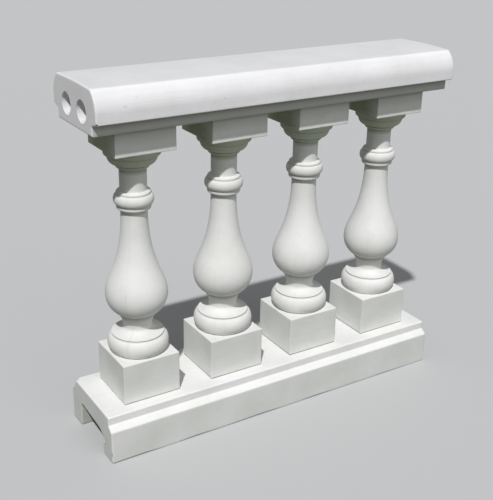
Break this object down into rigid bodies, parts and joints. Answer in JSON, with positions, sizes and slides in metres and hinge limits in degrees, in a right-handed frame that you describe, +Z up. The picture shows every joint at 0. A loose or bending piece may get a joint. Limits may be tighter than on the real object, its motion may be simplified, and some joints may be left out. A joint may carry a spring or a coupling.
{
  "type": "stone balustrade",
  "caption": "Free-standing bay of cast stone balustrade: channelled bottom rail, turned vase balusters with square blocks, and a bullnosed top rail with through cores.",
  "frame": {"origin": "middle of the bay at the level that the bottom rail stands on", "axes": "+X along the rails to the right, -Y the front that the picture shows, +Z up"},
  "size_m": [1.005, 0.247, 0.918],
  "materials": {
    "cast_stone": "matte white cast stone with a fine grain",
    "mortar": "thin raked mortar bed"
  },
  "bodies": {
    "root": {"bottom_rail": "cast_stone", "top_rail": "cast_stone", "baluster_1": "cast_stone", "baluster_2": "cast_stone", "baluster_3": "cast_stone", "baluster_4": "cast_stone", "lower_bed_1": "mortar", "lower_bed_2": "mortar", "lower_bed_3": "mortar", "lower_bed_4": "mortar", "upper_bed_1": "mortar", "upper_bed_2": "mortar", "upper_bed_3": "mortar", "upper_bed_4": "mortar"}
  },
  "joints": []
}
